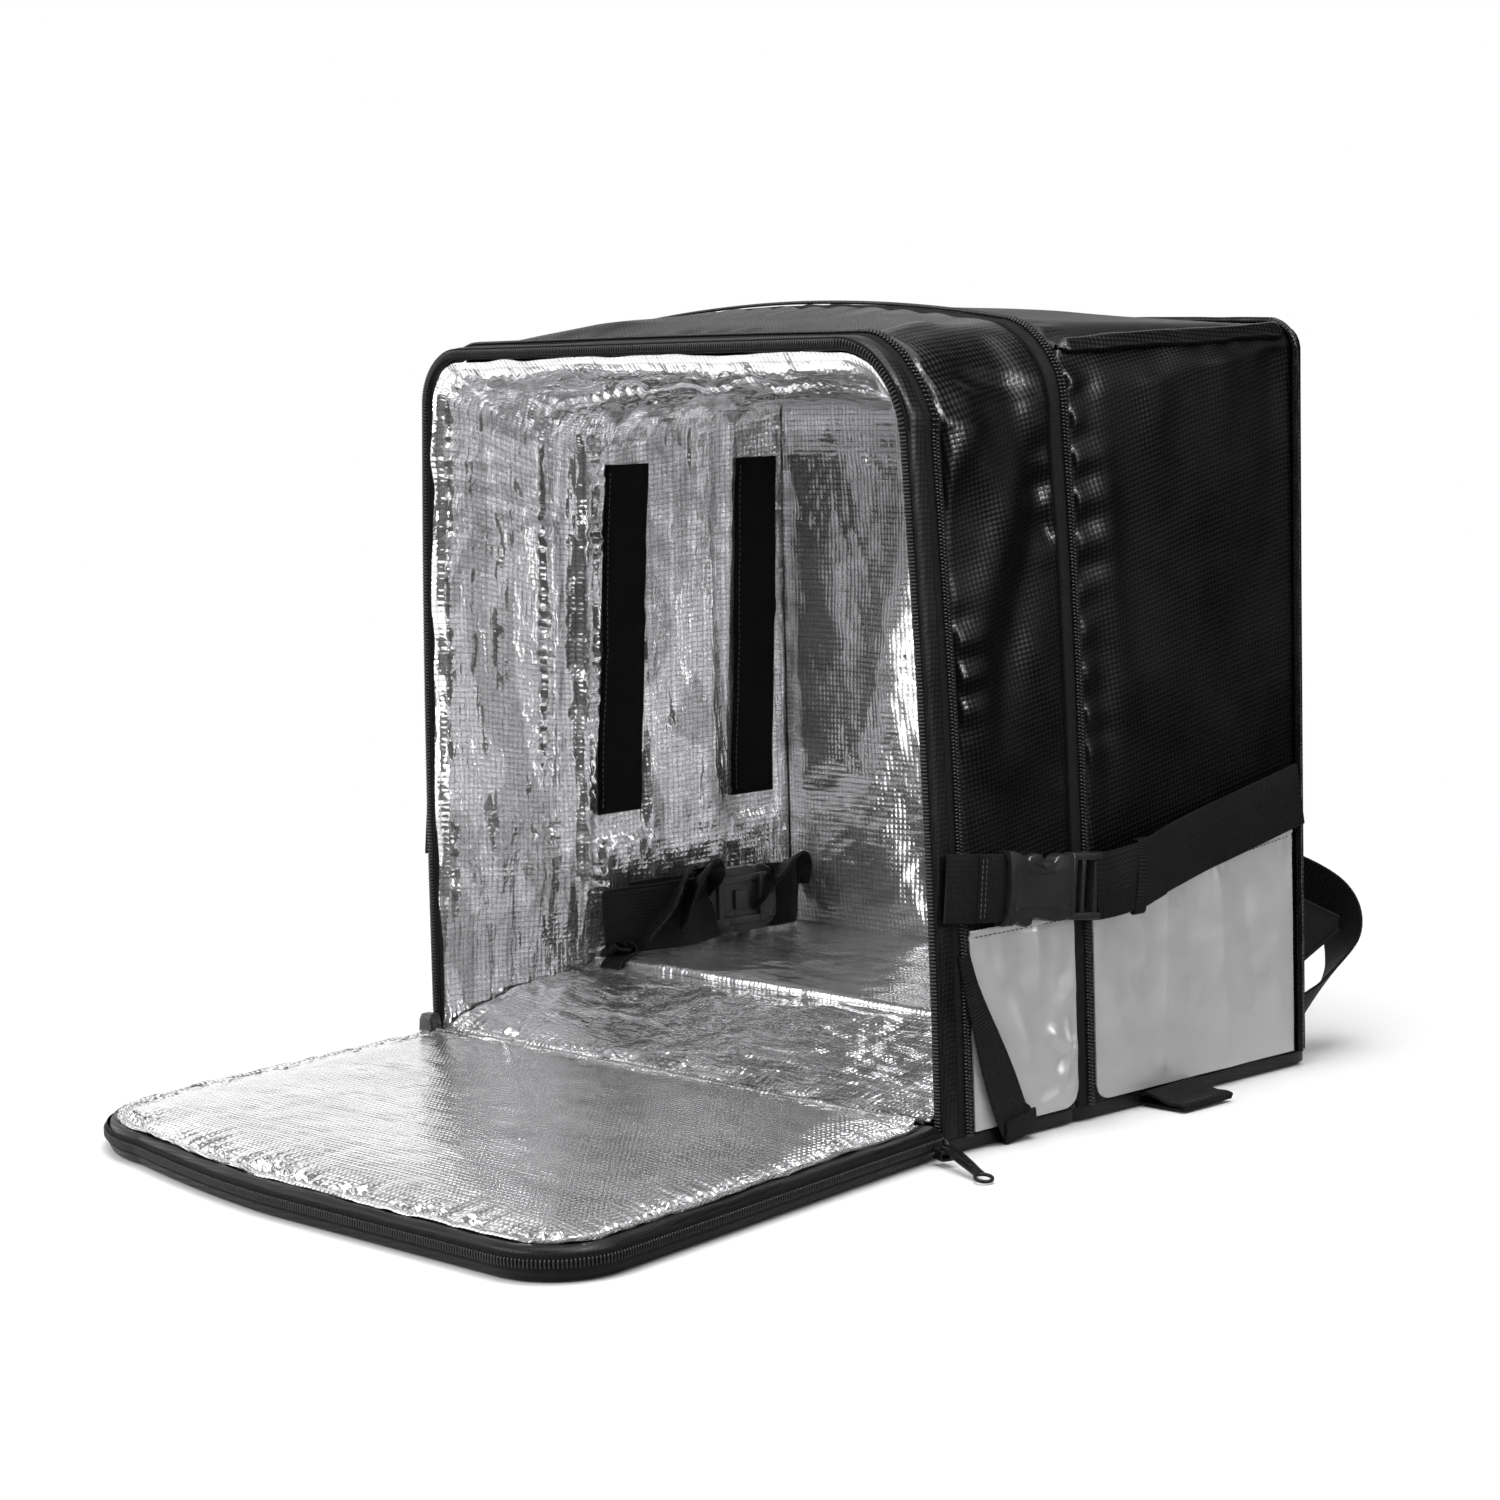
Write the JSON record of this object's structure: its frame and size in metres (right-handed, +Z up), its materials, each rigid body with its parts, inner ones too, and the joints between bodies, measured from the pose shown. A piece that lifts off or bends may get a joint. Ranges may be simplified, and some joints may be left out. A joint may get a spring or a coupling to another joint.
{
  "type": "insulated delivery backpack",
  "caption": "Box-shaped insulated backpack with a foil lining and its zipped front door laid open on the floor.",
  "frame": {"origin": "on the floor under the middle of the bag's base", "axes": "+Z up, -Y out of the opening, over the door that lies on the floor, +X to the right of someone facing the opening"},
  "size_m": [0.5378, 0.741, 0.482],
  "materials": {
    "tarpaulin": "black coated cloth with a woven grid, satin to glossy",
    "webbing": "black ribbed woven webbing, matt",
    "foil": "crinkled aluminium foil laminate with a fine grid weave",
    "reflective": "silver grey reflective cloth, satin",
    "plastic": "black moulded plastic, satin",
    "zip_tape": "black zip tape with black coil teeth",
    "zip_metal": "black painted zip slider and puller",
    "hook_tape": "black hook and loop tape, matt"
  },
  "bodies": {
    "bag": {"back_panel": "tarpaulin", "back_piping": "tarpaulin", "band_gusset_left": "reflective", "band_gusset_right": "reflective", "band_main_left": "reflective", "band_main_right": "reflective", "base_front": "tarpaulin", "base_main": "tarpaulin", "base_tab": "webbing", "belt_front_left": "webbing", "belt_front_right": "webbing", "belt_keeper_left": "webbing", "belt_keeper_right": "webbing", "belt_rear_left": "webbing", "belt_rear_right": "webbing", "buckle_female_left": "plastic", "buckle_female_right": "plastic", "buckle_male_left": "plastic", "buckle_male_right": "plastic", "corner_strap_left": "webbing", "corner_strap_right": "webbing", "door_lining": "foil", "door_shell": "tarpaulin", "door_zip": "zip_tape", "expansion_gusset": "tarpaulin", "floor_hem": "foil", "floor_pad": "foil", "front_ring": "tarpaulin", "hinge_seam": "foil", "hook_strip_1": "hook_tape", "hook_strip_2": "hook_tape", "inner_buckle": "plastic", "inner_strap_front": "webbing", "inner_strap_rear": "webbing", "ladder_lock_left": "plastic", "ladder_lock_right": "plastic", "lining_back": "foil", "lining_floor": "foil", "lining_left": "foil", "lining_right": "foil", "lining_top": "foil", "main_left": "tarpaulin", "main_right": "tarpaulin", "main_top": "tarpaulin", "seam_band": "zip_tape", "shoulder_strap_left": "tarpaulin", "shoulder_strap_right": "tarpaulin", "strap_anchor_left": "webbing", "strap_anchor_right": "webbing", "strap_webbing_left": "webbing", "strap_webbing_right": "webbing", "welt_left": "tarpaulin", "welt_right": "tarpaulin", "zip_front": "zip_tape", "zip_opening": "zip_tape", "zip_rear": "zip_tape", "zip_slider": "zip_metal", "zip_stop": "plastic"},
    "puller": {"zip_puller": "zip_metal"}
  },
  "joints": [
    {"name": "puller_swing", "type": "hinge", "parent": "bag", "child": "puller", "pos_m": [0.2432, -0.17975, 0.0117], "axis": [-0.3256, -0.9455, 0], "range_deg": [0, 110]}
  ]
}
